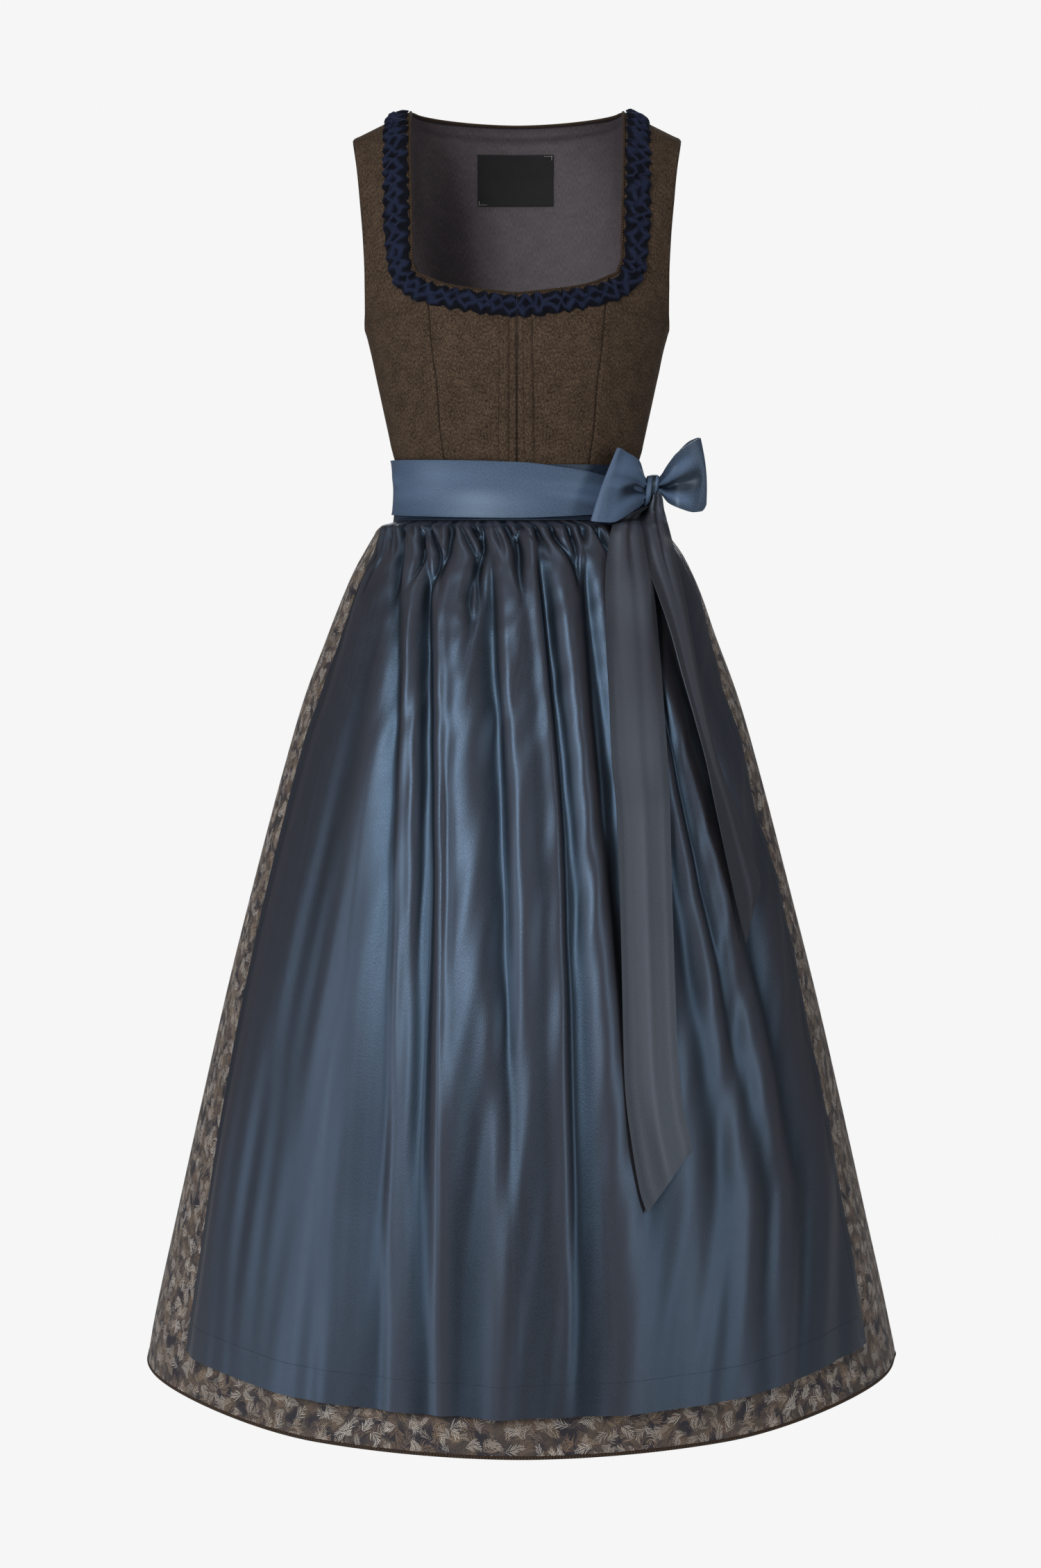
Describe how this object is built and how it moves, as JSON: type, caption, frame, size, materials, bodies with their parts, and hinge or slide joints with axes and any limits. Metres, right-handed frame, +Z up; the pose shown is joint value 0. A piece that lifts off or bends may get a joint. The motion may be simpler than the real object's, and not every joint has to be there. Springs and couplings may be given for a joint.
{
  "type": "dirndl",
  "caption": "Worn-form dirndl: sleeveless square-necked twill bodice with velvet ruche, flared brocade skirt, gathered satin apron, sash and side bow.",
  "frame": {"origin": "midway between the neck ends of the shoulder seams, where the wearer's shoulders hold the dress", "axes": "+Z up along the dress, +X to the wearer's left, -Y to the front"},
  "size_m": [0.7664, 0.6481, 1.2748],
  "materials": {
    "brown_twill": "dark brown wool twill with a small flecked herringbone",
    "navy_velvet": "navy cotton velvet",
    "grey_lining": "dark grey lining satin",
    "black_label": "bare black woven tape",
    "brown_braid": "brown cord piping",
    "hook_steel": "nickel wire",
    "frond_brocade": null,
    "hem_twill": "brown twill tape",
    "shot_satin": "satin shot with steel blue and charcoal brown",
    "blue_satin": "steel blue satin",
    "dark_satin": "charcoal satin with a blue sheen"
  },
  "bodies": {
    "root": {"apron": "shot_satin", "apron_waistband": "blue_satin", "bodice_back": "brown_twill", "bodice_front_left": "brown_twill", "bodice_front_right": "brown_twill", "bodice_lining_back": "grey_lining", "bodice_side_back_left": "brown_twill", "bodice_side_back_right": "brown_twill", "bodice_side_front_left": "brown_twill", "bodice_side_front_right": "brown_twill", "bow_knot": "blue_satin", "bow_loop_left": "blue_satin", "bow_loop_right": "blue_satin", "bow_tail_front": "dark_satin", "bow_tail_side": "dark_satin", "front_hook": "hook_steel", "front_tuck_left": "brown_twill", "front_tuck_right": "brown_twill", "hem_tape": "hem_twill", "neck_label": "black_label", "neck_piping": "brown_braid", "neck_ruche_left": "navy_velvet", "neck_ruche_right": "navy_velvet", "sash": "blue_satin", "skirt_back_left": "frond_brocade", "skirt_back_right": "frond_brocade", "skirt_front": "frond_brocade", "skirt_side_left": "frond_brocade", "skirt_side_right": "frond_brocade"}
  },
  "joints": []
}
